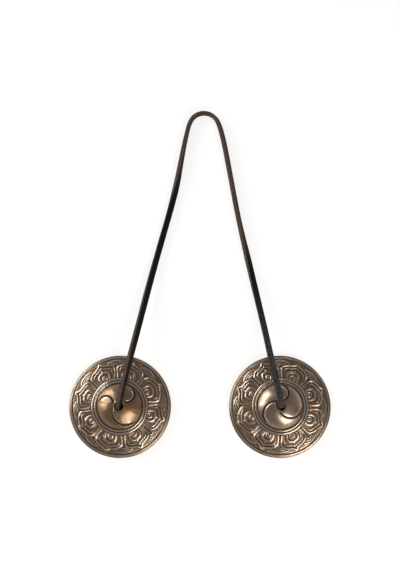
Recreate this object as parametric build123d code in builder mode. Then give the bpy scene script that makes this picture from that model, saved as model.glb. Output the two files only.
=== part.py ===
"""Tingsha: two cast bronze cymbals on one leather lace, lying dome up on a table.

The origin is midway between the two cymbals on the table. X runs from the left cymbal to the
right one, Y points along the lace to the top of its loop, and Z is up.
"""

import os
from math import cos, radians, sin, sqrt, tan

from build123d import *

# Cymbals
hole_spacing = 111.4
cymbal_diameter = 71.0
rim_height = 3.3
rim_band = 1.1
rim_step = 0.25
edge_round = 0.7
flange_rise = 4.0
wall = 2.7
seat_width = 3.4
boss_diameter = 31.8
boss_height = 7.6
hole_diameter = 5.4
hole_round = 0.5
bead_radius = 0.85
bead_count = 2
bead_gap = 0.15

# Swirl of the boss: every crease lies on a circle that touches the swirl's edge from inside. Its
# numbers are the angle of the touch and the circle's radius as a share of the swirl's.
swirls = {
    "left": ((57.0, 0.34), (170.0, 0.365), (319.0, 0.60)),
    "right": ((91.0, 0.36), (235.0, 0.57), (2.0, 0.56)),
}
swirl_margin = 1.3
crease_width = 0.9
crease_depth = 0.35

# Lotus petals of the flange, in low relief: a border line and an arch inside it
petal_count = 8
petal_turn = {"left": 28.4, "right": 21.2}
petal_relief = 0.4
petal_root = 0.5
petal_margin = 1.9
border_angle = 18.8
border_tip = 6.4
border_line_angle = 3.6
border_line = 2.7
border_drop = 1.0
arch_angle = 11.2
arch_side = 3.0
arch_tip = 4.2
tip_steepness = 42.0
shoulder_pull = 0.42
tip_pull = 0.40

# Lace
lace_width = 4.3
lace_thickness = 3.0
lace_corner = 0.7
lace_bearing = 11.9
neck_clearance = 0.5
corner_share = 0.45
bend_share = 0.5
twist_start_share = 0.26
twist_end_share = 0.54
twist_steps = 10
twist_turn = 90.0

# Knots
knot_strand = 2.8
knot_clearance = 0.2

half_spacing = hole_spacing / 2
rim_radius = cymbal_diameter / 2
boss_radius = boss_diameter / 2
hole_radius = hole_diameter / 2
flange_top = rim_height + flange_rise
dome_top = flange_top + boss_height
dome_radius = (boss_radius**2 + boss_height**2) / (2 * boss_height)
dome_centre = dome_top - dome_radius
bead_spacing = 2 * bead_radius + bead_gap
flange_inner_radius = boss_radius + bead_gap + bead_count * bead_spacing
band_radius = rim_radius - rim_band
lace_rest = lace_width / 2
radius_match = 0.01
neck_top = dome_top + neck_clearance
knot_top = dome_top - wall - knot_clearance

# The lace's route from the left knot to the right one, as corners joined by tangent arcs. Over the
# domes its heights are counted from the top of the dome, and on the table it lies on edge.
lace_route = [
    (-half_spacing, 0.0, knot_top),
    (-half_spacing, 0.0, dome_top + 3.5),
    (-54.9, 3.9, dome_top + 6.5),
    (-53.4, 10.8, dome_top + 4.7),
    (-50.7, 23.5, dome_top + 0.4),
    (-44.9, 48.9, 7.2),
    (-33.0, 97.8, lace_rest),
    (-17.8, 152.0, lace_rest),
    (-12.9, 180.0, lace_rest),
    (-10.3, 193.5, lace_rest),
    (-7.1, 206.7, lace_rest),
    (-1.1, 211.7, lace_rest),
    (6.7, 211.7, lace_rest),
    (12.8, 206.9, lace_rest),
    (16.3, 195.0, lace_rest),
    (19.0, 181.5, lace_rest),
    (22.7, 160.5, lace_rest),
    (27.8, 132.0, lace_rest),
    (35.2, 99.5, lace_rest),
    (46.4, 49.0, 7.2),
    (50.8, 23.5, dome_top + 0.4),
    (53.5, 10.8, dome_top + 4.7),
    (54.9, 3.9, dome_top + 6.5),
    (half_spacing, 0.0, dome_top + 3.5),
    (half_spacing, 0.0, knot_top),
]

# An overhand knot's route, counted from its top on the hole's axis.
knot_route = [
    (0.0, 0.0, 0.0),
    (0.0, 0.0, -5.8),
    (1.6, 0.4, -8.8),
    (5.6, 1.2, -8.8),
    (7.4, 2.6, -6.0),
    (5.6, 4.2, -3.0),
    (0.2, 4.2, -2.0),
    (-4.2, 2.4, -2.6),
    (-4.4, -2.2, -3.4),
    (-0.6, -4.2, -4.4),
    (3.5, -3.2, -5.2),
    (3.7, 1.0, -5.4),
    (3.4, 5.4, -6.4),
    (2.6, 9.0, -7.8),
]


def on_sphere(radius, distance):
    """Height of a sphere about the dome's centre at a distance from the axis."""
    return dome_centre + sqrt(radius**2 - distance**2)


def petal_face(half_angle, base, shoulder, tip):
    """A petal that points along X: radial sides up to the shoulders, then an ogee tip."""
    side = Vector(cos(radians(half_angle)), sin(radians(half_angle)), 0)
    tip_length = tip - shoulder
    back = tip - tip_pull * tip_length * cos(radians(tip_steepness))
    aside = tip_pull * tip_length * sin(radians(tip_steepness))
    guide = side * (shoulder + shoulder_pull * tip_length)
    with BuildSketch() as petal:
        with BuildLine() as half:
            Polyline((base * side.X, 0), side * base, side * shoulder)
            Bezier(side * shoulder, guide, (back, aside), (tip, 0))
            mirror(half.line, about=Plane.XZ)
        make_face()
    return petal.sketch


def petal_relief_face():
    """One petal's raised parts: its border and the arch inside it."""
    base = flange_inner_radius
    tip = band_radius - petal_margin
    shoulder = tip - border_tip
    field_angle = border_angle - border_line_angle
    arch_shoulder = base + arch_side
    with BuildSketch() as petal:
        add(petal_face(border_angle, base, shoulder, tip))
        field = petal_face(field_angle, base, shoulder - border_drop, tip - border_line)
        add(field, mode=Mode.SUBTRACT)
        add(petal_face(arch_angle, base, arch_shoulder, arch_shoulder + arch_tip))
    return petal.sketch


def crease_face(touch_angle, share):
    """One crease in plan: the clockwise half of a thin ring that touches the swirl's edge."""
    swirl_radius = boss_radius - swirl_margin
    ring_radius = share * swirl_radius
    with BuildSketch() as crease:
        with Locations((swirl_radius - ring_radius, 0)):
            Circle(ring_radius + crease_width / 2)
            Circle(ring_radius - crease_width / 2, mode=Mode.SUBTRACT)
            half_plane = (Align.CENTER, Align.MAX)
            Rectangle(2 * boss_radius, boss_radius, align=half_plane, mode=Mode.INTERSECT)
        Circle(hole_radius + hole_round + swirl_margin, mode=Mode.SUBTRACT)
    return crease.sketch.rotate(Axis.Z, touch_angle)


def make_cymbal(label, hole_x, turn, swirl):
    """One cymbal: a turned section with dome, bead rings, flange and a flat seat under the rim, then
    the petals raised on its flange and the swirl cut into its dome."""
    section = Plane(origin=(hole_x, 0, 0), x_dir=(1, 0, 0), z_dir=(0, -1, 0))
    hole_axis = Axis((hole_x, 0, 0), (0, 0, 1))
    inner_radius = dome_radius - wall
    inner_boss = boss_radius - wall
    flange_slope = flange_rise / (band_radius - flange_inner_radius)
    seat_inner = rim_radius - edge_round - seat_width
    hollow_end = inner_boss + wall / 2
    hollow_height = (seat_inner - hollow_end) * flange_slope
    dome_middle = (hole_radius + boss_radius) / 2
    inner_middle = (hole_radius + inner_boss) / 2
    first_bead = boss_radius + bead_gap + bead_radius
    bead_places = [(first_bead + ring * bead_spacing, flange_top) for ring in range(bead_count)]
    with BuildPart() as cymbal:
        with BuildSketch(section):
            with BuildLine():
                dome_start = (hole_radius, on_sphere(dome_radius, hole_radius))
                dome_end = (boss_radius, flange_top)
                inner_start = (hole_radius, on_sphere(inner_radius, hole_radius))
                inner_end = (inner_boss, on_sphere(inner_radius, inner_boss))
                ThreePointArc(dome_start, (dome_middle, on_sphere(dome_radius, dome_middle)), dome_end)
                Polyline(
                    dome_end,
                    (flange_inner_radius, flange_top),
                    (band_radius, rim_height),
                    (band_radius, rim_height - rim_step),
                    (rim_radius, rim_height - rim_step),
                    (rim_radius, 0),
                    (seat_inner, 0),
                    (hollow_end, hollow_height),
                    inner_end,
                )
                inner_crown = (inner_middle, on_sphere(inner_radius, inner_middle))
                ThreePointArc(inner_end, inner_crown, inner_start)
                Line(inner_start, dome_start)
            make_face()
            with Locations(*bead_places):
                Circle(bead_radius)
        revolve(axis=hole_axis)
        for radius, rounding in ((rim_radius, edge_round), (hole_radius, hole_round)):
            circles = cymbal.edges().filter_by(GeomType.CIRCLE)
            fillet(circles.filter_by(lambda edge: abs(edge.radius - radius) < radius_match), rounding)
        with BuildSketch(section):
            Polygon(
                (flange_inner_radius, flange_top - petal_root),
                (band_radius, rim_height - petal_root),
                (band_radius, rim_height + petal_relief),
                (flange_inner_radius, flange_top + petal_relief),
                align=None,
            )
        skin = revolve(axis=hole_axis, mode=Mode.PRIVATE)
        with BuildSketch(Plane(origin=(hole_x, 0, 0))):
            with PolarLocations(0, petal_count, start_angle=turn):
                add(petal_relief_face())
        petals = extrude(amount=dome_top, mode=Mode.PRIVATE)
        add(petals & skin)
        with BuildSketch(Plane(origin=(hole_x, 0, flange_top))):
            for touch_angle, share in swirl:
                add(crease_face(touch_angle, share))
        creases = extrude(amount=boss_height, mode=Mode.PRIVATE)
        floor_of_creases = Pos(hole_x, 0, dome_centre) * Sphere(dome_radius - crease_depth, mode=Mode.PRIVATE)
        add(creases - floor_of_creases, mode=Mode.SUBTRACT)
    cymbal.part.label = label
    return cymbal.part


def corner_radii(points):
    """Radius of the arc at each corner: as large as the shorter of its two runs allows."""
    radii = []
    for before, corner, after in zip(points, points[1:], points[2:]):
        run_in = Vector(corner) - Vector(before)
        run_out = Vector(after) - Vector(corner)
        half_turn = radians(run_in.get_angle(run_out)) / 2
        radii.append(corner_share * min(run_in.length, run_out.length) / tan(half_turn))
    return radii


def along(start, end, share):
    """The point at a share of the way from one point to another."""
    return Vector(start) + (Vector(end) - Vector(start)) * share


def across(start, end, turn=0.0):
    """The plane square to a run at its start, its x level, turned about the run."""
    run = (Vector(end) - Vector(start)).normalized()
    level = run.cross(Vector(0, 0, 1)).normalized()
    upright = level.cross(run)
    turned = level * cos(radians(turn)) + upright * sin(radians(turn))
    return Plane(origin=start, x_dir=turned, z_dir=run)


def make_tube(label, points, radii, section, width, height, corner):
    """A stretch of lace: a rounded section carried along straight runs and tangent arcs."""
    with BuildPart() as stretch:
        with BuildLine() as path:
            if radii:
                FilletPolyline(*points, radius=radii)
            else:
                Line(*points)
        with BuildSketch(section):
            RectangleRounded(width, height, corner)
        sweep()
    stretch.part.label = label
    tube_length = path.wires()[0].length
    print(label, "length", round(tube_length, 1), "volume", round(stretch.part.volume, 1))
    return stretch.part


def make_twist(label, start, end):
    """The straight stretch in which the lace turns from lying flat to standing on edge."""
    with BuildPart() as twist:
        for step in range(twist_steps + 1):
            place = along(start, end, step / twist_steps)
            with BuildSketch(across(place, place + (end - start), twist_turn * step / twist_steps)):
                RectangleRounded(lace_width, lace_thickness, lace_corner)
        loft(ruled=True)
    twist.part.label = label
    return twist.part


def make_knot(label, hole_x, side):
    """An overhand knot drawn up under the hole, its cut end beside it."""
    points = [(hole_x + x * side, y * side, knot_top + z) for x, y, z in knot_route]
    with BuildPart() as knot:
        with BuildLine():
            FilletPolyline(*points, radius=corner_radii(points))
        with BuildSketch(Plane(origin=points[0], z_dir=(0, 0, -1))):
            Circle(knot_strand / 2)
        sweep()
    knot.part.label = label
    return knot.part


os.makedirs("parts", exist_ok=True)
route_radii = corner_radii(lace_route)
print("lace radii", [round(radius, 1) for radius in route_radii])
pieces = []
loop_ends = {}
for name, side in (("left", -1), ("right", 1)):
    hole_x = side * half_spacing
    route = lace_route if side < 0 else lace_route[::-1]
    radii = route_radii if side < 0 else route_radii[::-1]
    bend_end = along(route[2], route[3], bend_share)
    twist_start = along(route[5], route[6], twist_start_share)
    twist_end = along(route[5], route[6], twist_end_share)
    loop_ends[name] = twist_end
    neck_foot = Vector(route[0])
    neck_head = Vector(hole_x, 0, neck_top)
    bearing = radians(side * lace_bearing)
    level = Vector(cos(bearing), sin(bearing), 0)
    neck_plane = Plane(origin=neck_foot, x_dir=level, z_dir=(0, 0, 1))
    bend_plane = Plane(origin=neck_head, x_dir=level, z_dir=(0, 0, 1))
    leg_plane = across(bend_end, route[3])
    flat = (lace_width, lace_thickness, lace_corner)
    pieces.append(make_cymbal(f"{name}_cymbal", hole_x, petal_turn[name], swirls[name]))
    pieces.append(make_knot(f"{name}_knot", hole_x, side))
    pieces.append(make_tube(f"{name}_lace_neck", [neck_foot, neck_head], [], neck_plane, *flat))
    bend_points = [neck_head, route[1], route[2], bend_end]
    pieces.append(make_tube(f"{name}_lace_bend", bend_points, radii[0:2], bend_plane, *flat))
    leg_points = [bend_end, route[3], route[4], route[5], twist_start]
    pieces.append(make_tube(f"{name}_lace_leg", leg_points, radii[2:5], leg_plane, *flat))
    pieces.append(make_twist(f"{name}_lace_twist", twist_start, twist_end))
loop_points = [loop_ends["left"], *lace_route[6:19], loop_ends["right"]]
loop_plane = across(loop_ends["left"], lace_route[6])
on_edge = (lace_thickness, lace_width, lace_corner)
pieces.append(make_tube("lace_loop", loop_points, route_radii[5:18], loop_plane, *on_edge))
for piece in pieces:
    export_step(piece, f"parts/{piece.label}.step")
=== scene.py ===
"""Tingsha: two cast bronze cymbals with lotus-petal flanges, on one leather lace, seen from above."""

import math

import bpy
import numpy as np
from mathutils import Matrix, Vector


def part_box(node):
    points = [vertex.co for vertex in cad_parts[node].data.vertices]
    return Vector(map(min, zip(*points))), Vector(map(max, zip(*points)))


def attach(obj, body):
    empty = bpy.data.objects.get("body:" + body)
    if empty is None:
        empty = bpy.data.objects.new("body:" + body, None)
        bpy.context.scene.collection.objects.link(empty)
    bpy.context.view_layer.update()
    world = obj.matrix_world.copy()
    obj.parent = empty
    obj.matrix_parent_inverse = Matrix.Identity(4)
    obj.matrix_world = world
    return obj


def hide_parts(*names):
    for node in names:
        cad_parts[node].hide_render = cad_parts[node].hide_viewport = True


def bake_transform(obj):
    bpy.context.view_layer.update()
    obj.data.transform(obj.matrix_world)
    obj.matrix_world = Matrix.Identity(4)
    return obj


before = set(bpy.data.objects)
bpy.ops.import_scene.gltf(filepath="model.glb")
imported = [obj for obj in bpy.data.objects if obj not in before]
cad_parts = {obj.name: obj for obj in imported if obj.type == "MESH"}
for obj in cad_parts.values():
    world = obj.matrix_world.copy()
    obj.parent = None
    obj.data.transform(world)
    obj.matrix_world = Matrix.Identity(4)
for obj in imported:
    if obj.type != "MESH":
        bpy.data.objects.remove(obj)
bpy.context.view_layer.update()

MM = 0.001
SIDES = ("left", "right")

# Cymbal section, taken from the frame where the frame holds it.
cymbal_low, cymbal_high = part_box("left_cymbal")
hole_x = -(cymbal_low[0] + cymbal_high[0]) / 2
rim_radius = (cymbal_high[0] - cymbal_low[0]) / 2
rim_height = 3.3 * MM
rim_band = 1.1 * MM
rim_step = 0.25 * MM
edge_round = 0.7 * MM
flange_rise = 4.0 * MM
wall = 2.7 * MM
seat_width = 3.4 * MM
boss_radius = 15.9 * MM
boss_height = 7.6 * MM
hole_radius = 2.7 * MM
hole_round = 0.5 * MM
bead_groove = 0.15 * MM
bead_radius = 0.85 * MM
bead_spacing = 1.85 * MM
bead_count = 2
bead_flatness = 0.75
bead_sink = 0.1 * MM
bead_trough = 0.2 * MM
flange_top = rim_height + flange_rise
dome_top = flange_top + boss_height
dome_radius = (boss_radius**2 + boss_height**2) / (2 * boss_height)
dome_centre = dome_top - dome_radius
flange_inner = boss_radius + bead_groove + bead_count * bead_spacing
band_radius = rim_radius - rim_band
flange_slope = flange_rise / (band_radius - flange_inner)
# Rows of points along each stretch of the section, and columns round the hole.
dome_rows, bead_rows, flange_rows = 54, 17, 72
edge_rows, hollow_rows, inside_rows, hole_rows = 5, 6, 10, 4
around = 568
# Polish: it is worked out from how far a point stands above its surroundings, within a window of
# points, and it is higher on the beads and lower where painted shade darkens the swirl creases.
wear_window = 5
wear_depth = 0.7 * MM
underside_polish = 0.55
bead_polish, bead_rise = 0.25, 0.5 * MM
# How far the painted shade in the swirl creases lowers the polish, darkening them further.
crease_shade_dulling = 0.5
line_seed = {"left": 7, "right": 19}

# Lotus petals: half of each outline from its foot to its tip, as (across, outward) corners of a
# smooth line.
petal_count = 8
petal_pitch = 2 * math.pi / petal_count
petal_turn = {"left": 28.4, "right": 21.2}
petal_line = [(5.9, 18.1), (8.5, 22.4), (9.2, 26.0), (6.6, 28.5), (3.6, 29.4), (1.3, 30.5), (0.0, 32.5)]
arch_line = [(2.9, 18.1), (4.4, 20.4), (4.7, 23.2), (3.6, 25.4), (1.6, 26.1), (0.5, 26.3), (0.0, 27.4)]
# Height and half-width of each petal's outline, of the furrow and the second line inside it, of its
# arch, and of the ring and the dot of its eye. The inset of a line is its distance inside the outline.
outline_height, outline_width = 0.56 * MM, 0.58 * MM
furrow_depth, furrow_width, furrow_inset = 0.26 * MM, 0.45 * MM, 1.0 * MM
second_height, second_width, second_inset = 0.40 * MM, 0.50 * MM, 1.95 * MM
arch_height, arch_width = 0.54 * MM, 1.6 * MM
eye_height, eye_width = 0.46 * MM, 0.42 * MM
dot_height, dot_width = 0.40 * MM, 0.50 * MM
eye_centre = 21.4 * MM
eye_radius = 1.6 * MM
# Distances from the hole over which the outline gains height at a petal's shoulders and loses it at
# the tip, and over which the arch gains height and the grooves between petals run out.
shoulder_span = (22.0 * MM, 26.5 * MM)
tip_span = (30.5 * MM, 32.5 * MM)
arch_span = (20.0 * MM, 24.0 * MM)
gap_span = (25.5 * MM, 28.0 * MM)
# Grooves between the feet of the petals, and how far every drawn line strays.
gap_depth, gap_width = 0.34 * MM, 0.38 * MM
line_stray = 0.13 * MM
surface_stray = 0.03 * MM
# How the petals differ: in size, in millimetres outward, in degrees of lean, and in relief.
petal_stretch, petal_shift = (0.95, 1.05), (-0.35, 0.35)
petal_lean, petal_depth = (-1.2, 1.2), (0.85, 1.1)
# Between the tips: nested arcs, each with the distance of its top from the hole and its radius.
fan_arcs = ((29.3 * MM, 4.0 * MM), (30.6 * MM, 6.8 * MM), (31.9 * MM, 9.1 * MM))
fan_height, fan_width = 0.45 * MM, 0.48 * MM
rim_line = 33.1 * MM
lip_height = 0.20 * MM
lip_groove, lip_groove_width = 0.36 * MM, 0.32 * MM

# Boss swirls: each crease is half of a circle that touches the swirl's edge from inside, given by
# the angle of the touch in degrees and the circle's radius as a share of the swirl's.
swirls = {
    "left": ((57.0, 0.34), (170.0, 0.365), (319.0, 0.60)),
    "right": ((91.0, 0.36), (235.0, 0.57), (2.0, 0.56)),
}
# How much brighter each boss is rubbed than the flange.
boss_polish = {"left": 0.0, "right": 0.12}
swirl_radius = boss_radius - 1.3 * MM
swirl_foot = (swirl_radius, boss_radius - 0.3 * MM)
swirl_inner = (3.2 * MM, 4.6 * MM)
swirl_step = 0.42 * MM
crease_depth, crease_width = 0.50 * MM, 0.50 * MM
# Painted shade along the outer, sunk side of each crease: how far outside the crease it lies, and its
# width.
crease_shade_offset, crease_shade_width = 0.25 * MM, 0.62 * MM
step_width, step_reach = 0.35 * MM, 3.0 * MM
# Angles past the touch, in radians, over which a crease begins and ends.
crease_begin, crease_end = (0.05, 0.5), (2.55, 3.1)

# Lace: the same corners as the solid's route, in metres.
lace_width = 4.3 * MM
lace_thickness = 3.0 * MM
lace_corner = 0.7 * MM
lace_lift = 2.15 * MM
lace_route = [
    (-0.0557, 0.0, 0.012),
    (-0.0557, 0.0, 0.0184),
    (-0.0549, 0.0039, 0.0214),
    (-0.0534, 0.0108, 0.0196),
    (-0.0507, 0.0235, 0.0153),
    (-0.0449, 0.0489, 0.0072),
    (-0.033, 0.0978, 0.00215),
    (-0.0178, 0.152, 0.00215),
    (-0.0129, 0.18, 0.00215),
    (-0.0103, 0.1935, 0.00215),
    (-0.0071, 0.2067, 0.00215),
    (-0.0011, 0.2117, 0.00215),
    (0.0067, 0.2117, 0.00215),
    (0.0128, 0.2069, 0.00215),
    (0.0163, 0.195, 0.00215),
    (0.019, 0.1815, 0.00215),
    (0.0227, 0.1605, 0.00215),
    (0.0278, 0.132, 0.00215),
    (0.0352, 0.0995, 0.00215),
    (0.0464, 0.049, 0.0072),
    (0.0508, 0.0235, 0.0153),
    (0.0535, 0.0108, 0.0196),
    (0.0549, 0.0039, 0.0214),
    (0.0557, 0.0, 0.0184),
    (0.0557, 0.0, 0.012),
]
# How the strip turns along its length: share of the length, and the tilt of its width in degrees.
lace_twist = [
    (0.00, 104.0),
    (0.035, 105.0),
    (0.06, 112.0),
    (0.085, 128.0),
    (0.12, 136.0),
    (0.17, 148.0),
    (0.23, 158.0),
    (0.29, 172.0),
    (0.335, 170.0),
    (0.36, 146.0),
    (0.382, 120.0),
    (0.41, 106.0),
    (0.44, 94.0),
    (0.50, 86.0),
    (0.53, 70.0),
    (0.57, 69.0),
    (0.62, 70.0),
    (0.70, 70.0),
    (0.735, 54.0),
    (0.765, 30.0),
    (0.80, 10.0),
    (0.84, 2.0),
    (1.00, 2.0),
]
# The flesh side is painted grey near the holes, partly painted sheen and partly rubbing, and less and less
# between these distances from them.
sheen_and_wear_start = 0.030
sheen_and_wear_end = 0.105
lace_spacing = 0.8 * MM
lace_uneven = 0.006
lace_clearance = 0.05 * MM
lying_span = (lace_lift, lace_lift + 4 * MM)
twist_window = 41
steep_share = 0.6
chart_girth = 12 * MM
lace_seed = 31
# Two places at each hole, the first above the hole's edge, between which the lace bends; the script works
# them out but uses them for nothing.
bend_start_height = 0.0172
bend_end_inward, bend_end_along, bend_end_height = 0.0010, 0.0053, 0.0225

# Knots: an overhand knot's corners, counted from its top on the hole's axis.
knot_top = 0.0120
knot_width = 2.9 * MM
knot_thickness = 2.5 * MM
knot_spacing = 0.35 * MM
knot_uneven = 0.02
knot_turn = 90.0
knot_level = (0.3, 0.9, 0.1)
knot_seed = 5
knot_route = [
    (0.0, 0.0, 0.0),
    (0.0, 0.0, -0.0058),
    (0.0016, 0.0004, -0.0088),
    (0.0056, 0.0012, -0.0088),
    (0.0074, 0.0026, -0.0060),
    (0.0056, 0.0042, -0.0030),
    (0.0002, 0.0042, -0.0020),
    (-0.0042, 0.0024, -0.0026),
    (-0.0044, -0.0022, -0.0034),
    (-0.0006, -0.0042, -0.0044),
    (0.0035, -0.0032, -0.0052),
    (0.0037, 0.0010, -0.0054),
    (0.0034, 0.0054, -0.0064),
    (0.0026, 0.0090, -0.0078),
]

# Camera: the photograph's view, 400 by 570 pixels.
camera_target = (0.0, 0.0859, 0.0)
camera_elevation = 82.0
camera_distance = 0.700
camera_lens = 62.09
camera_sensor = 36.0

# Stage: paper floor, and the brightness of the surroundings at the horizon, low in the sky and above.
floor_grey = 0.35
floor_lift = 0.77
floor_reach = 4.0
shade_width = 4 * MM
low_sky = 0.30
sky_light = {"horizon": 0.55, "low": 0.28, "above": 0.25}
lamp_aim = (0.0, 0.05, 0.0)


class Value:
    """A node's output socket. Arithmetic on it adds Math nodes."""

    def __init__(self, finish, socket):
        self.finish = finish
        self.socket = socket

    def _math(self, operation, first, second):
        return self.finish.node("ShaderNodeMath", {"operation": operation}, {0: first, 1: second})

    def __add__(self, other):
        return self._math("ADD", self, other)

    __radd__ = __add__

    def __sub__(self, other):
        return self._math("SUBTRACT", self, other)

    def __rsub__(self, other):
        return self._math("SUBTRACT", other, self)

    def __mul__(self, other):
        return self._math("MULTIPLY", self, other)

    __rmul__ = __mul__

    def __truediv__(self, other):
        return self._math("DIVIDE", self, other)

    def __pow__(self, other):
        return self._math("POWER", self, other)


class Finish:
    """A material and its nodes."""

    def __init__(self, name):
        self.material = bpy.data.materials.new(name)
        self.material.use_nodes = True
        self.tree = self.material.node_tree
        self.tree.nodes.clear()

    def node(self, kind, settings=None, sockets=None, output=0):
        """Adds a node with its settings, then its sockets' values or links, and returns an output."""
        made = self.tree.nodes.new(kind)
        for key, value in (settings or {}).items():
            setattr(made, key, value)
        for key, value in (sockets or {}).items():
            if isinstance(value, Value):
                self.tree.links.new(value.socket, made.inputs[key])
            else:
                made.inputs[key].default_value = value
        return Value(self, made.outputs[output])

    def attribute(self, name):
        return self.node("ShaderNodeAttribute", {"attribute_name": name}, output="Fac")

    def mix(self, share, first, second, blend="MIX"):
        settings = {"data_type": "RGBA", "blend_type": blend}
        return self.node("ShaderNodeMix", settings, {0: share, 6: first, 7: second}, output=2)

    def noise(self, vector, scale, detail=4.0, roughness=0.55):
        sockets = {"Vector": vector, "Scale": scale, "Detail": detail, "Roughness": roughness}
        return self.node("ShaderNodeTexNoise", {"noise_dimensions": "3D"}, sockets)

    def span(self, value, low, high, to_low=0.0, to_high=1.0):
        sockets = {0: value, 1: low, 2: high, 3: to_low, 4: to_high}
        return self.node("ShaderNodeMapRange", {"interpolation_type": "SMOOTHSTEP"}, sockets)

    def end(self, shader):
        output = self.tree.nodes.new("ShaderNodeOutputMaterial")
        self.tree.links.new(shader.socket, output.inputs["Surface"])
        return self.material


def grey(value):
    return (value, value, value, 1.0)


def bronze_finish():
    """Aged bronze: polished where it stands proud, dark brown in the recesses, with fine streaks."""
    finish = Finish("aged_bronze")
    place = finish.node("ShaderNodeTexCoord", output="Object")
    chart = finish.node("ShaderNodeUVMap", {"uv_map": "turned"})
    polish = finish.attribute("polish")
    boss = finish.attribute("boss")
    crease_shade = finish.attribute("crease_shade")
    cloud = finish.noise(place, 160.0, 5.0)
    grain = finish.noise(place, 2400.0, 3.0)
    streak_chart = finish.node("ShaderNodeMapping", None, {"Vector": chart, "Scale": (26.0, 900.0, 1.0)})
    streak = finish.noise(streak_chart, 1.0, 3.0)
    worn = finish.span(polish + (cloud - 0.5) * (0.45 - boss * 0.3), 0.15, 0.9)
    recess = (0.112, 0.066, 0.037, 1.0)
    body = (0.290, 0.193, 0.122, 1.0)
    bright = (0.575, 0.503, 0.43, 1.0)
    warm = (0.34, 0.205, 0.105, 1.0)
    tarnish = (0.37, 0.185, 0.085, 1.0)
    # Near-black colour painted into the swirl creases as shade.
    crease_shade_colour = (0.012, 0.007, 0.004, 1.0)
    colour = finish.mix(finish.span(worn, 0.0, 0.5), recess, body)
    colour = finish.mix(finish.span(worn, 0.45, 1.0), colour, bright)
    tint = finish.span(finish.noise(place, 95.0, 3.0), 0.52, 0.72)
    colour = finish.mix(tint * 0.35 + boss * 0.10, colour, warm)
    patch = finish.span(finish.noise(place, 120.0, 4.0), 0.47, 0.66)
    colour = finish.mix(patch * boss * 0.35, colour, tarnish)
    # Painted shade: the outer side of each swirl crease is darkened almost to black.
    colour = finish.mix(crease_shade * 0.85, colour, crease_shade_colour)
    uneven = (streak - 0.5) * 0.12 + (cloud - 0.5) * (0.10 - boss * 0.06)
    roughness = 0.48 - worn * 0.24 - boss * 0.02 + crease_shade * 0.3 + uneven
    height = grain * 0.35 + streak * 0.4 + cloud * 0.6
    bump = finish.node("ShaderNodeBump", None, {"Strength": 0.30, "Distance": 0.00006, "Height": height})
    shader = finish.node(
        "ShaderNodeBsdfPrincipled",
        None,
        {
            "Base Color": colour,
            "Metallic": finish.span(worn, 0.0, 0.5, 0.72, 1.0),
            "Roughness": roughness,
            "Normal": bump,
        },
    )
    return finish.end(shader)


def leather_finish():
    """Dyed leather strip: charcoal faces with a fine grain, brown fibrous cut edges, worn corners."""
    finish = Finish("dyed_leather")
    chart = finish.node("ShaderNodeUVMap", {"uv_map": "strip"})
    edge = finish.attribute("cut_edge")
    corner = finish.attribute("corner")
    flesh = finish.attribute("flesh_side")
    sheen_and_wear = finish.attribute("sheen_and_wear")
    fibre_chart = finish.node("ShaderNodeMapping", None, {"Vector": chart, "Scale": (700.0, 34.0, 1.0)})
    fibre = finish.span(finish.noise(fibre_chart, 1.0, 4.0), 0.3, 0.7)
    grain_chart = finish.node("ShaderNodeMapping", None, {"Vector": chart, "Scale": (680.0, 11.0, 1.0)})
    grain = finish.span(finish.noise(grain_chart, 1.0, 5.0), 0.36, 0.64)
    blotch_chart = finish.node("ShaderNodeMapping", None, {"Vector": chart, "Scale": (110.0, 5.0, 1.0)})
    blotch = finish.noise(blotch_chart, 1.0, 3.0)
    dyed_dark, dyed_light = (0.003, 0.003, 0.003, 1.0), (0.008, 0.007, 0.006, 1.0)
    suede_dark, suede_light = (0.012, 0.012, 0.012, 1.0), (0.078, 0.077, 0.076, 1.0)
    raw_dark, raw_light = (0.032, 0.020, 0.013, 1.0), (0.150, 0.106, 0.078, 1.0)
    raw_stained = (0.042, 0.028, 0.020, 1.0)
    raw_reddish = (0.220, 0.115, 0.090, 1.0)
    rubbed = (0.105, 0.072, 0.050, 1.0)
    dyed = finish.mix(blotch, dyed_dark, dyed_light)
    suede = finish.mix(grain, suede_dark, suede_light)
    # Painted sheen and rubbing near the holes: the flesh side turns grey, and the cut edges redden.
    dyed = finish.mix(flesh * sheen_and_wear, dyed, suede)
    raw = finish.mix(fibre, raw_dark, raw_light)
    raw = finish.mix(finish.span(blotch, 0.35, 0.7) * 0.4, raw, raw_stained)
    raw = finish.mix(sheen_and_wear * sheen_and_wear * finish.span(grain, 0.5, 0.95) * 0.5, raw, raw_reddish)
    bare = finish.span(edge + (fibre - 0.5) * 0.25 + (blotch - 0.5) * 0.25, 0.35, 0.65)
    colour = finish.mix(bare, dyed, raw)
    rub = finish.span(corner + (grain - 0.5) * 0.8, 0.62, 1.0)
    colour = finish.mix(rub * 0.35, colour, rubbed)
    height = grain * 0.6 + fibre * 0.5 * bare + blotch * 0.4
    bump = finish.node("ShaderNodeBump", None, {"Strength": 0.55, "Distance": 0.00012, "Height": height})
    shader = finish.node(
        "ShaderNodeBsdfPrincipled",
        None,
        {
            "Base Color": colour,
            "Roughness": 0.62 + bare * 0.18 + (grain - 0.5) * 0.2,
            "Specular IOR Level": 0.15,
            "Normal": bump,
        },
    )
    return finish.end(shader)


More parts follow.
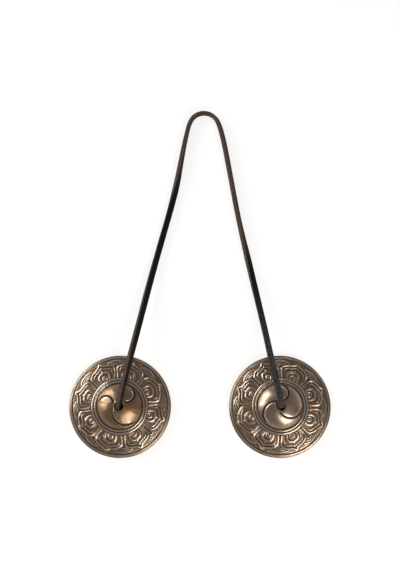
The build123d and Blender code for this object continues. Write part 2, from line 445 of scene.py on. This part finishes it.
def floor_finish():
    """White paper: matt, and lifted to white for what the camera and mirrors see of it, except in
    the dark under each cymbal."""
    finish = Finish("white_floor")
    rays = ("Is Camera Ray", "Is Glossy Ray", "Is Transmission Ray")
    camera_ray, glossy_ray, clear_ray = [finish.node("ShaderNodeLightPath", output=ray) for ray in rays]
    place = finish.node("ShaderNodeTexCoord", output="Object")
    lift = (camera_ray + glossy_ray + clear_ray) * floor_lift
    for sign in (-1, 1):
        centre = (sign * hole_x, 0.0, 0.0)
        ends = {0: place, 1: centre}
        away = finish.node("ShaderNodeVectorMath", {"operation": "DISTANCE"}, ends, "Value")
        lift = lift * finish.span(away, rim_radius - shade_width, rim_radius)
    matt = finish.node("ShaderNodeBsdfDiffuse", None, {"Color": grey(floor_grey)})
    glow = finish.node("ShaderNodeEmission", None, {"Color": grey(1.0), "Strength": lift})
    return finish.end(finish.node("ShaderNodeAddShader", None, {0: matt, 1: glow}))


def make_piece(name, points, faces, material, charts=None, attributes=None, flat_count=0):
    """A mesh object at the origin from points and a list of faces, with corner charts and point
    attributes. The last flat_count faces are shaded flat."""
    mesh = bpy.data.meshes.new(name)
    mesh.from_pydata(points, [], faces)
    mesh.polygons.foreach_set("use_smooth", np.arange(len(faces)) < len(faces) - flat_count)
    for chart_name, values in (charts or {}).items():
        layer = mesh.uv_layers.new(name=chart_name)
        layer.data.foreach_set("uv", values.astype(np.float32).ravel())
    for attribute_name, values in (attributes or {}).items():
        layer = mesh.attributes.new(attribute_name, "FLOAT", "POINT")
        layer.data.foreach_set("value", values.astype(np.float32).ravel())
    mesh.materials.append(material)
    mesh.update()
    piece = bpy.data.objects.new(name, mesh)
    bpy.context.scene.collection.objects.link(piece)
    return piece


def grid_faces(rows, columns, close_rows):
    """Quads of a grid that closes round its columns, and round its rows where asked."""
    row = np.arange(rows if close_rows else rows - 1)
    column = np.arange(columns)
    r, c = np.meshgrid(row, column, indexing="ij")
    r2, c2 = (r + 1) % rows, (c + 1) % columns
    corners = [r * columns + c, r * columns + c2, r2 * columns + c2, r2 * columns + c]
    return np.stack(corners, -1).reshape(-1, 4)


def rise(value, low, high):
    """Smooth step from 0 at low to 1 at high."""
    share = np.clip((value - low) / (high - low), 0, 1)
    return share * share * (3 - 2 * share)


def ridge(distance, width):
    """A rounded ridge along a line: a bell curve of the distance from it."""
    return np.exp(-((distance / width) ** 2))


def arc(centre, radius, start, end, count):
    """Points of a circular arc, angles in degrees."""
    angle = np.radians(np.linspace(start, end, count))
    return np.stack([centre[0] + radius * np.cos(angle), centre[1] + radius * np.sin(angle)], 1)


def top_height(radius):
    """Height of the plain upper side: a spherical dome, rounded bead rings, then a straight cone."""
    dome = dome_centre + np.sqrt(np.maximum(dome_radius**2 - radius**2, 0))
    cone = flange_top - (radius - flange_inner) * flange_slope
    height = np.where(radius < flange_inner, flange_top - bead_trough, cone)
    height = np.where(radius < boss_radius, dome, height)
    for ring in range(bead_count):
        centre = boss_radius + bead_groove + bead_radius + ring * bead_spacing
        bead = np.sqrt(np.maximum(bead_radius**2 - (radius - centre) ** 2, 0))
        crown = flange_top - bead_sink + bead_flatness * bead
        height = np.where(bead > 0, np.maximum(height, crown), height)
    return height


def cymbal_section():
    """The closed section of a cymbal, from the hole over the top to the rim and back underneath.

    Returns the (radius, height) points and the count of the upper ones that carry the relief."""
    dome = np.linspace(hole_radius + hole_round, boss_radius, dome_rows)
    beads = np.linspace(boss_radius, flange_inner, bead_rows)[1:-1]
    flange = np.linspace(flange_inner, band_radius, flange_rows)
    upper = np.concatenate([dome, beads, flange])
    upper = np.stack([upper, top_height(upper)], 1)
    rim_top = rim_height - rim_step
    band = np.array([[band_radius + 0.1 * MM, rim_top]])
    outer = arc((rim_radius - edge_round, rim_top - edge_round), edge_round, 90, 0, edge_rows)
    lower = arc((rim_radius - edge_round, edge_round), edge_round, 0, -90, edge_rows)
    seat_inner = rim_radius - edge_round - seat_width
    inner_radius = dome_radius - wall
    inner_boss = boss_radius - wall
    hollow_end = inner_boss + wall / 2
    hollow_height = (seat_inner - hollow_end) * flange_slope
    hollow = np.linspace((seat_inner, 0), (hollow_end, hollow_height), hollow_rows)
    inside = np.linspace(inner_boss, hole_radius + hole_round, inside_rows)
    inside = np.stack([inside, dome_centre + np.sqrt(inner_radius**2 - inside**2)], 1)
    top_edge = upper[0, 1] - hole_round
    low_edge = inside[-1, 1] + hole_round
    bottom_round = arc((hole_radius + hole_round, low_edge), hole_round, 270, 180, hole_rows)[1:]
    top_round = arc((hole_radius + hole_round, top_edge), hole_round, 180, 90, hole_rows)[:-1]
    section = np.concatenate([upper, band, outer, lower, hollow, inside, bottom_round, top_round])
    return section, len(upper)


def smooth_line(corners):
    """A smooth line along corners given in millimetres: each corner is cut at quarters, four times."""
    line = np.array(corners) * MM
    for _ in range(4):
        near = 0.75 * line[:-1] + 0.25 * line[1:]
        far = 0.25 * line[:-1] + 0.75 * line[1:]
        line = np.concatenate([line[:1], np.stack([near, far], 1).reshape(-1, 2), line[-1:]])
    return line


def inside_distance(across, outward, line):
    """Distance inside the mirrored outline of a line, negative outside it."""
    start, run = line[:-1], np.diff(line, axis=0)
    away = np.abs(across)[..., None] - start[:, 0]
    up = outward[..., None] - start[:, 1]
    share = np.clip((away * run[:, 0] + up * run[:, 1]) / (run**2).sum(1), 0, 1)
    distance = np.hypot(away - share * run[:, 0], up - share * run[:, 1]).min(-1)
    inside = np.abs(across) < np.interp(outward, line[:, 1], line[:, 0])
    return np.where(inside, distance, -distance)


def wander(chance, radius, angle, size):
    """A slow uneven field over radius and angle, for hand-worked lines."""
    total = 0
    for turns in (3, 5, 8, 13, 21):
        reach = chance.uniform(1.6, 5.0) * MM
        round_wave = np.sin(turns * angle + chance.uniform(0, 2 * math.pi))
        out_wave = np.sin(radius / reach + chance.uniform(0, 2 * math.pi))
        total = total + size * chance.uniform(0.4, 1.0) * round_wave * out_wave
    return total


def petal_relief(radius, angle, turn, chance):
    """Height of the lotus petals on the flange, over radius rows and angle columns.

    Each petal is two parallel outline ridges with a furrow between them, a rounded arch, and an eye
    of a ring round a dot, all bell curves or parabolas of the distance from a line. A groove runs
    between the feet of two petals. Between the tips lie nested arcs of circles, the tips of the
    petals behind, and a lip runs along the rim."""
    radius = np.tile(radius[:, None], (1, len(angle)))
    angle = np.tile(angle, (len(radius), 1))
    drawn_radius = radius + wander(chance, radius, angle, line_stray)
    turned = angle - math.radians(turn) + wander(chance, radius, angle, line_stray) / radius
    index = np.floor(turned / petal_pitch + 0.5).astype(int) % petal_count
    local = (turned + petal_pitch / 2) % petal_pitch - petal_pitch / 2
    stretch = chance.uniform(*petal_stretch, petal_count)[index]
    shift = chance.uniform(*petal_shift, petal_count)[index] * MM
    lean = np.radians(chance.uniform(*petal_lean, petal_count))[index]
    lean = lean * rise(radius, flange_inner, band_radius)
    depth = chance.uniform(*petal_depth, petal_count)[index]
    across = drawn_radius * np.sin(local + lean) / stretch
    outward = drawn_radius * np.cos(local + lean) + shift
    outer = inside_distance(across, outward, smooth_line(petal_line))
    arch = inside_distance(across, outward, smooth_line(arch_line))
    shoulder = rise(outward, *shoulder_span)
    tip = rise(outward, *tip_span)
    height = outline_height * ridge(outer, outline_width) * (0.4 + 0.6 * shoulder) * (1 - 0.6 * tip)
    height -= furrow_depth * ridge(outer - furrow_inset, furrow_width) * shoulder
    second = ridge(outer - second_inset, second_width) * rise(outer, 0.0, 0.5 * MM)
    height += second_height * second * shoulder
    across_arch = np.clip((arch - arch_width / 2) / (arch_width / 2 + 0.25 * MM), -1, 1)
    height += arch_height * (1 - across_arch**2) * (0.65 + 0.35 * rise(outward, *arch_span))
    from_eye = np.hypot(across, outward - eye_centre)
    height += eye_height * ridge(from_eye - eye_radius, eye_width)
    height += dot_height * ridge(from_eye, dot_width)
    aside = (petal_pitch / 2 - np.abs(local)) * radius
    height -= gap_depth * ridge(aside, gap_width) * (1 - rise(radius, *gap_span))
    outside = 1 - rise(outer, -1.3 * MM, -0.7 * MM)
    sideways = drawn_radius * np.sin(petal_pitch / 2 - np.abs(local))
    forward = drawn_radius * np.cos(petal_pitch / 2 - np.abs(local))
    for top, arc_radius in fan_arcs:
        from_arc = np.hypot(sideways, forward - top + arc_radius) - arc_radius
        height += fan_height * ridge(from_arc, fan_width) * outside
    field = rise(radius, flange_inner - 0.1 * MM, flange_inner + 0.5 * MM)
    field *= 1 - rise(radius, rim_line - 0.5 * MM, rim_line)
    lip = lip_height * rise(radius, rim_line, rim_line + 0.5 * MM)
    lip -= lip_groove * ridge(radius - rim_line, lip_groove_width)
    return height * depth * field + lip


def swirl_relief(radius, angle, creases):
    """Height of the boss's three-fold swirl: along each crease the inner side of its circle stands
    proud and the outer side is sunk, as tanh of the distance from the circle times a bell curve of it,
    with a bell-shaped groove on the circle itself. Also returns painted shade on each crease's sunk side."""
    x = radius[:, None] * np.cos(angle)
    y = radius[:, None] * np.sin(angle)
    height = 0
    crease_shade = 0
    for touch, share in creases:
        ring_radius = share * swirl_radius
        toward, sideways = math.cos(math.radians(touch)), math.sin(math.radians(touch))
        out = x * toward + y * sideways - (swirl_radius - ring_radius)
        over = y * toward - x * sideways
        away = np.hypot(out, over) - ring_radius
        past = np.arctan2(-over, out)
        length = rise(past, *crease_begin) * (1 - rise(past, *crease_end))
        step = -np.tanh(away / step_width) * ridge(away, step_reach)
        height = height + length * (swirl_step * step - crease_depth * ridge(away, crease_width))
        crease_shade = np.maximum(crease_shade, length * ridge(away - crease_shade_offset, crease_shade_width))
    inner = rise(radius, *swirl_inner)
    foot = 1 - rise(radius, *swirl_foot)
    field = (inner * foot)[:, None]
    return height * field, crease_shade * field


def soften(field, rows, columns):
    """Mean over a small window, closed round the angle."""
    total = sum(np.roll(field, shift, 1) for shift in range(-columns, columns + 1)) / (2 * columns + 1)
    padded = np.pad(total, ((rows, rows), (0, 0)), mode="edge")
    return sum(padded[shift:shift + len(field)] for shift in range(2 * rows + 1)) / (2 * rows + 1)


def make_cymbal(side, material):
    """A cymbal: its section carried round the hole's axis, raised by the petals and the swirl."""
    chance = np.random.default_rng(line_seed[side])
    section, upper_count = cymbal_section()
    angle = np.linspace(0, 2 * math.pi, around, endpoint=False)
    radius, height = section.T
    relief = np.zeros((len(section), around))
    upper = radius[:upper_count]
    on_flange = upper > flange_inner - 0.2 * MM
    on_boss = upper < boss_radius
    relief[:upper_count][on_flange] += petal_relief(upper[on_flange], angle, petal_turn[side], chance)
    swirl, swirl_shade = swirl_relief(upper[on_boss], angle, swirls[side])
    relief[:upper_count][on_boss] += swirl
    # Painted shade in the swirl creases, as a share that darkens colour and polish.
    crease_shade = np.zeros(relief.shape)
    crease_shade[:upper_count][on_boss] = swirl_shade
    waves = wander(chance, radius[:, None], angle[None, :], surface_stray)
    free = rise(radius, hole_radius + hole_round, 6 * MM)
    free *= 1 - rise(radius, band_radius - 1 * MM, band_radius)
    free[upper_count:] = 0
    relief += waves * free[:, None]
    centre_x = -hole_x if side == "left" else hole_x
    x = centre_x + radius[:, None] * np.cos(angle)
    y = radius[:, None] * np.sin(angle)
    z = height[:, None] + relief
    points = np.stack([x, y, z], -1).reshape(-1, 3)
    beads = np.where((radius > boss_radius) & (radius < flange_inner), height - flange_top, 0)
    beads[upper_count:] = 0
    worked = relief + beads[:, None]
    cavity = worked - soften(worked, wear_window, wear_window)
    polish = 0.5 + cavity / wear_depth
    polish[upper_count:] = underside_polish
    boss = np.repeat((1 - rise(radius, boss_radius - 0.5 * MM, boss_radius))[:, None], around, 1)
    boss[upper_count:] = 0
    proud = np.clip(beads / bead_rise, 0, 1)[:, None]
    # Polish rises on the boss and the beads and falls under the painted crease shade.
    polish = polish + boss * boss_polish[side] + proud * bead_polish - crease_shade * crease_shade_dulling
    polish = np.clip(polish, 0, 1)
    faces = grid_faces(len(section), around, True)[:, ::-1]
    length = np.concatenate([[0], np.cumsum(np.linalg.norm(np.diff(section, axis=0), axis=1))])
    row, column = np.divmod(faces, around)
    turn = column / around
    turn = np.where((turn < 0.25) & (turn.max(1, keepdims=True) > 0.75), turn + 1, turn)
    chart = np.stack([turn, length[row]], -1)
    attributes = {"polish": polish, "boss": boss, "crease_shade": crease_shade}
    charts = {"turned": chart}
    piece = make_piece(f"{side}_cymbal_casting", points, faces.tolist(), material, charts, attributes)
    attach(piece, f"{side}_cymbal")
    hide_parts(f"{side}_cymbal")
    return piece


def spline_points(name, corners, spacing):
    """Even points along the smooth NURBS spline whose control points are the route's corners."""
    curve = bpy.data.curves.new(name, "CURVE")
    curve.dimensions = "3D"
    curve.resolution_u = 48
    spline = curve.splines.new("NURBS")
    spline.points.add(len(corners) - 1)
    spline.points.foreach_set("co", np.c_[np.array(corners), np.ones(len(corners))].ravel())
    spline.order_u = 3
    spline.use_endpoint_u = True
    holder = bpy.data.objects.new(name, curve)
    bpy.context.scene.collection.objects.link(holder)
    line = bpy.data.meshes.new_from_object(holder)
    points = np.empty(len(line.vertices) * 3)
    line.vertices.foreach_get("co", points)
    points = points.reshape(-1, 3)
    bpy.data.objects.remove(holder)
    bpy.data.meshes.remove(line)
    length = np.concatenate([[0], np.cumsum(np.linalg.norm(np.diff(points, axis=0), axis=1))])
    places = np.linspace(0, length[-1], int(length[-1] / spacing) + 1)
    return np.stack([np.interp(places, length, points[:, k]) for k in range(3)], 1), places


def strip_section(width, thickness, corner, per_side=7, per_corner=5):
    """The strip's rounded rectangular section, with how far each point is on a cut edge, on a corner
    and on the flesh side."""
    half_w, half_t = width / 2 - corner, thickness / 2 - corner
    parts, edge, rounded, flesh = [], [], [], []
    corners = [(half_w, half_t), (-half_w, half_t), (-half_w, -half_t), (half_w, -half_t)]
    for k, (cx, cy) in enumerate(corners):
        parts.append(arc((cx, cy), corner, 90 * k, 90 * (k + 1), per_corner))
        across = np.linspace(0, 1, per_corner)
        edge.append(1 - across if k % 2 == 0 else across)
        rounded.append(np.sin(np.pi * across))
        flesh.append({0: across, 1: 1 - across}.get(k, 0 * across))
        nx, ny = corners[(k + 1) % 4]
        start = parts[-1][-1]
        stop = arc((nx, ny), corner, 90 * (k + 1), 90 * (k + 1), 1)[0]
        share = np.linspace(0, 1, per_side + 2)[1:-1, None]
        parts.append(start + (stop - start) * share)
        edge.append(np.full(per_side, 0.0 if k % 2 == 0 else 1.0))
        rounded.append(np.zeros(per_side))
        flesh.append(np.full(per_side, 1.0 if k == 0 else 0.0))
    return [np.concatenate(values) for values in (parts, edge, rounded, flesh)]


def make_strip(name, path, lie, size, start_length, material, uneven, chance):
    """A leather strip along a path: its section turned by the tilt about the path, and capped.

    lie holds, for each point, the level sideways direction, the tilt of the width above it and how
    far painted sheen and rubbing lighten the leather there."""
    level, tilt, sheen_and_wear = lie
    width, thickness, corner = size
    section, edge, rounded, flesh = strip_section(width, thickness, corner)
    tangent = np.gradient(path, axis=0)
    tangent /= np.linalg.norm(tangent, axis=1)[:, None]
    level = level - (level * tangent).sum(1)[:, None] * tangent
    level /= np.linalg.norm(level, axis=1)[:, None]
    upright = np.cross(level, tangent)
    wide = level * np.cos(tilt)[:, None] + upright * np.sin(tilt)[:, None]
    thick = np.cross(wide, tangent)
    step = np.linalg.norm(np.diff(path, axis=0), axis=1)
    run = start_length + np.concatenate([[0], np.cumsum(step)])
    girth = 1 + sum(
        uneven * chance.uniform(0.4, 1.0) * np.sin(run * chance.uniform(120, 900) + chance.uniform(0, 6.3))
        for _ in range(6)
    )
    ring = section[None] * girth[:, None, None]
    points = path[:, None] + ring[..., :1] * wide[:, None] + ring[..., 1:] * thick[:, None]
    rows, columns = len(path), len(section)
    faces = grid_faces(rows, columns, False)
    perimeter = np.concatenate([[0], np.cumsum(np.linalg.norm(np.diff(section, axis=0), axis=1))])
    row, column = np.divmod(faces, columns)
    girthwise = perimeter[column] / chart_girth
    girthwise = np.where((column == 0) & (column.max(1, keepdims=True) > columns // 2), 1.0, girthwise)
    chart = np.stack([run[row], girthwise], -1)
    flat = points.reshape(-1, 3)
    caps = np.arange(columns)
    cap_rows = [np.concatenate([flat[:columns], path[:1]]), np.concatenate([flat[-columns:], path[-1:]])]
    first, second = len(flat), len(flat) + columns + 1
    near = np.stack([caps, (caps + 1) % columns, np.full(columns, columns)], 1)
    cap_faces = np.concatenate([near[:, ::-1] + first, near + second])
    all_points = np.concatenate([flat, *cap_rows])
    cap_count = len(all_points) - len(flat)
    cut = np.concatenate([np.tile(edge, rows), np.ones(cap_count)])
    attributes = {
        "cut_edge": cut,
        "corner": np.concatenate([np.tile(rounded, rows), np.zeros(cap_count)]),
        "flesh_side": np.concatenate([np.tile(flesh, rows), np.zeros(cap_count)]),
        "sheen_and_wear": np.concatenate([np.repeat(sheen_and_wear, columns), np.zeros(cap_count)]),
    }
    cap_chart = np.zeros((len(cap_faces), 3, 2)) + [[[0.0, 0.5]]]
    cap_chart[:, :2, 0] = 1 * MM
    charts = {"strip": np.concatenate([chart.ravel(), cap_chart.ravel()])}
    all_faces = faces.tolist() + cap_faces.tolist()
    piece = make_piece(name, all_points, all_faces, material, charts, attributes, len(cap_faces))
    return piece


def level_directions(path):
    """The level sideways direction along a path. Where the path climbs steeply it keeps the leg's."""
    plan = np.gradient(path, axis=0)
    steep = np.hypot(plan[:, 0], plan[:, 1]) < steep_share * np.linalg.norm(plan, axis=1)
    keep = np.flatnonzero(~steep)
    nearest = keep[np.abs(np.arange(len(path))[:, None] - keep[None]).argmin(1)]
    plan = plan[nearest]
    plan[:, 2] = 0
    return np.cross(plan / np.linalg.norm(plan, axis=1)[:, None], (0, 0, 1))


def make_lace(material):
    """The lace in two halves that meet at the top of the loop."""
    path, places = spline_points("lace_line", lace_route, lace_spacing)
    share = places / places[-1]
    knots, tilts = np.array(lace_twist).T
    tilt = np.interp(share, knots, np.radians(tilts))
    window = np.hanning(twist_window)
    tilt = np.pad(tilt, twist_window // 2, mode="edge")
    tilt = np.convolve(tilt, window / window.sum(), mode="valid")
    half_w, half_t = lace_width / 2 - lace_corner, lace_thickness / 2 - lace_corner
    stand = half_w * np.abs(np.sin(tilt)) + half_t * np.abs(np.cos(tilt)) + lace_corner
    lying = 1 - rise(path[:, 2], *lying_span)
    path[:, 2] += (stand - lace_lift + lace_clearance) * lying
    level = level_directions(path)
    middle = len(path) // 2
    from_hole = np.minimum(places, places[-1] - places)
    # How far the painted sheen and the rubbing reach along the lace from each hole.
    sheen_and_wear = 1 - rise(from_hole, sheen_and_wear_start, sheen_and_wear_end)
    size = (lace_width, lace_thickness, lace_corner)
    halves = []
    for side, part in (("left", slice(0, middle + 1)), ("right", slice(middle, None))):
        chance = np.random.default_rng(lace_seed)
        run, start = path[part], places[part][0]
        lie = (level[part], tilt[part], sheen_and_wear[part])
        piece = make_strip(f"lace_{side}_half", run, lie, size, start, material, lace_uneven, chance)
        outward = 1 if side == "right" else -1
        exit_point = run[0] if side == "left" else run[-1]
        bend_from = (outward * hole_x, 0.0, bend_start_height)
        bend_to = (outward * (hole_x - bend_end_inward), bend_end_along, bend_end_height)
        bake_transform(piece)
        names = [f"{side}_lace_{part_name}" for part_name in ("neck", "bend", "leg", "twist")]
        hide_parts(*names, *(["lace_loop"] if side == "left" else []))
        halves.append((piece, run, exit_point))
    return halves


def make_knot(side, material):
    """The overhand knot under a hole: the strip squeezed along the knot's spline."""
    sign = -1 if side == "left" else 1
    corners = [(sign * hole_x + sign * x, sign * y, knot_top + z) for x, y, z in knot_route]
    path, places = spline_points(f"{side}_knot_line", corners, knot_spacing)
    level = np.tile(knot_level, (len(path), 1))
    tangent = np.gradient(path, axis=0)
    tangent /= np.linalg.norm(tangent, axis=1)[:, None]
    for k in range(1, len(path)):
        carried = level[k - 1] - (level[k - 1] @ tangent[k]) * tangent[k]
        level[k] = carried / np.linalg.norm(carried)
    tilt = np.radians(knot_turn * places / places[-1])
    size = (knot_width, knot_thickness, lace_corner)
    chance = np.random.default_rng(knot_seed)
    lie = (level, tilt, np.ones(len(path)))
    piece = make_strip(f"{side}_overhand_knot", path, lie, size, 0.0, material, knot_uneven, chance)
    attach(piece, f"{side}_knot")
    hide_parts(f"{side}_knot")
    return piece


def make_floor(material):
    """A wide level sheet under the object."""
    points = floor_reach * np.array([(-1, -1, 0), (1, -1, 0), (1, 1, 0), (-1, 1, 0)], float)
    floor = make_piece("floor", points, [[0, 1, 2, 3]], material)


def make_softbox(name, place, width, height, power, colour=(1.0, 1.0, 1.0)):
    """A soft studio lamp: a rectangular area light turned to the middle of the pair."""
    lamp = bpy.data.lights.new(name, "AREA")
    lamp.shape = "RECTANGLE"
    lamp.size, lamp.size_y = width, height
    lamp.energy = power
    lamp.color = colour
    holder = bpy.data.objects.new(name, lamp)
    holder.location = place
    holder.rotation_euler = (Vector(lamp_aim) - Vector(place)).to_track_quat("-Z", "Y").to_euler()
    bpy.context.scene.collection.objects.link(holder)


def make_world():
    """Studio surroundings: a dim ceiling above paler walls."""
    world = bpy.data.worlds.new("studio")
    world.use_nodes = True
    bpy.context.scene.world = world
    tree = world.node_tree
    tree.nodes.clear()
    ray = tree.nodes.new("ShaderNodeTexCoord")
    axes = tree.nodes.new("ShaderNodeSeparateXYZ")
    ramp = tree.nodes.new("ShaderNodeValToRGB")
    sky = tree.nodes.new("ShaderNodeBackground")
    out = tree.nodes.new("ShaderNodeOutputWorld")
    stops = ramp.color_ramp.elements
    stops[0].color = grey(sky_light["horizon"])
    stops[1].color = grey(sky_light["above"])
    stops.new(low_sky).color = grey(sky_light["low"])
    tree.links.new(ray.outputs["Generated"], axes.inputs[0])
    tree.links.new(axes.outputs["Z"], ramp.inputs["Fac"])
    tree.links.new(ramp.outputs["Color"], sky.inputs["Color"])
    tree.links.new(sky.outputs[0], out.inputs["Surface"])


def make_camera():
    """The photograph's camera: high over the pair, tipped a little towards the cymbals."""
    data = bpy.data.cameras.new("camera")
    data.lens = camera_lens
    data.sensor_width = camera_sensor
    camera = bpy.data.objects.new("camera", data)
    lift = math.radians(camera_elevation)
    back = Vector((0, -math.cos(lift), math.sin(lift)))
    camera.location = Vector(camera_target) + back * camera_distance
    camera.rotation_euler = (-back).to_track_quat("-Z", "Y").to_euler()
    bpy.context.scene.collection.objects.link(camera)
    bpy.context.scene.camera = camera


bronze = bronze_finish()
leather = leather_finish()
make_camera()
for side in SIDES:
    make_cymbal(side, bronze)
halves = make_lace(leather)
for side, (half, run, exit_point) in zip(SIDES, halves):
    knot = make_knot(side, leather)
    ordered = run if side == "left" else run[::-1]
make_floor(floor_finish())
make_world()
make_softbox("left_softbox", (-1.15, 0.59, 0.48), width=1.33, height=0.63, power=14.2)
warm_white = (1.0, 0.96, 0.91)
make_softbox("front_softbox", (0.42, -0.56, 0.50), width=0.5, height=0.5, power=4.3, colour=warm_white)
bpy.context.scene.view_settings.view_transform = "Standard"
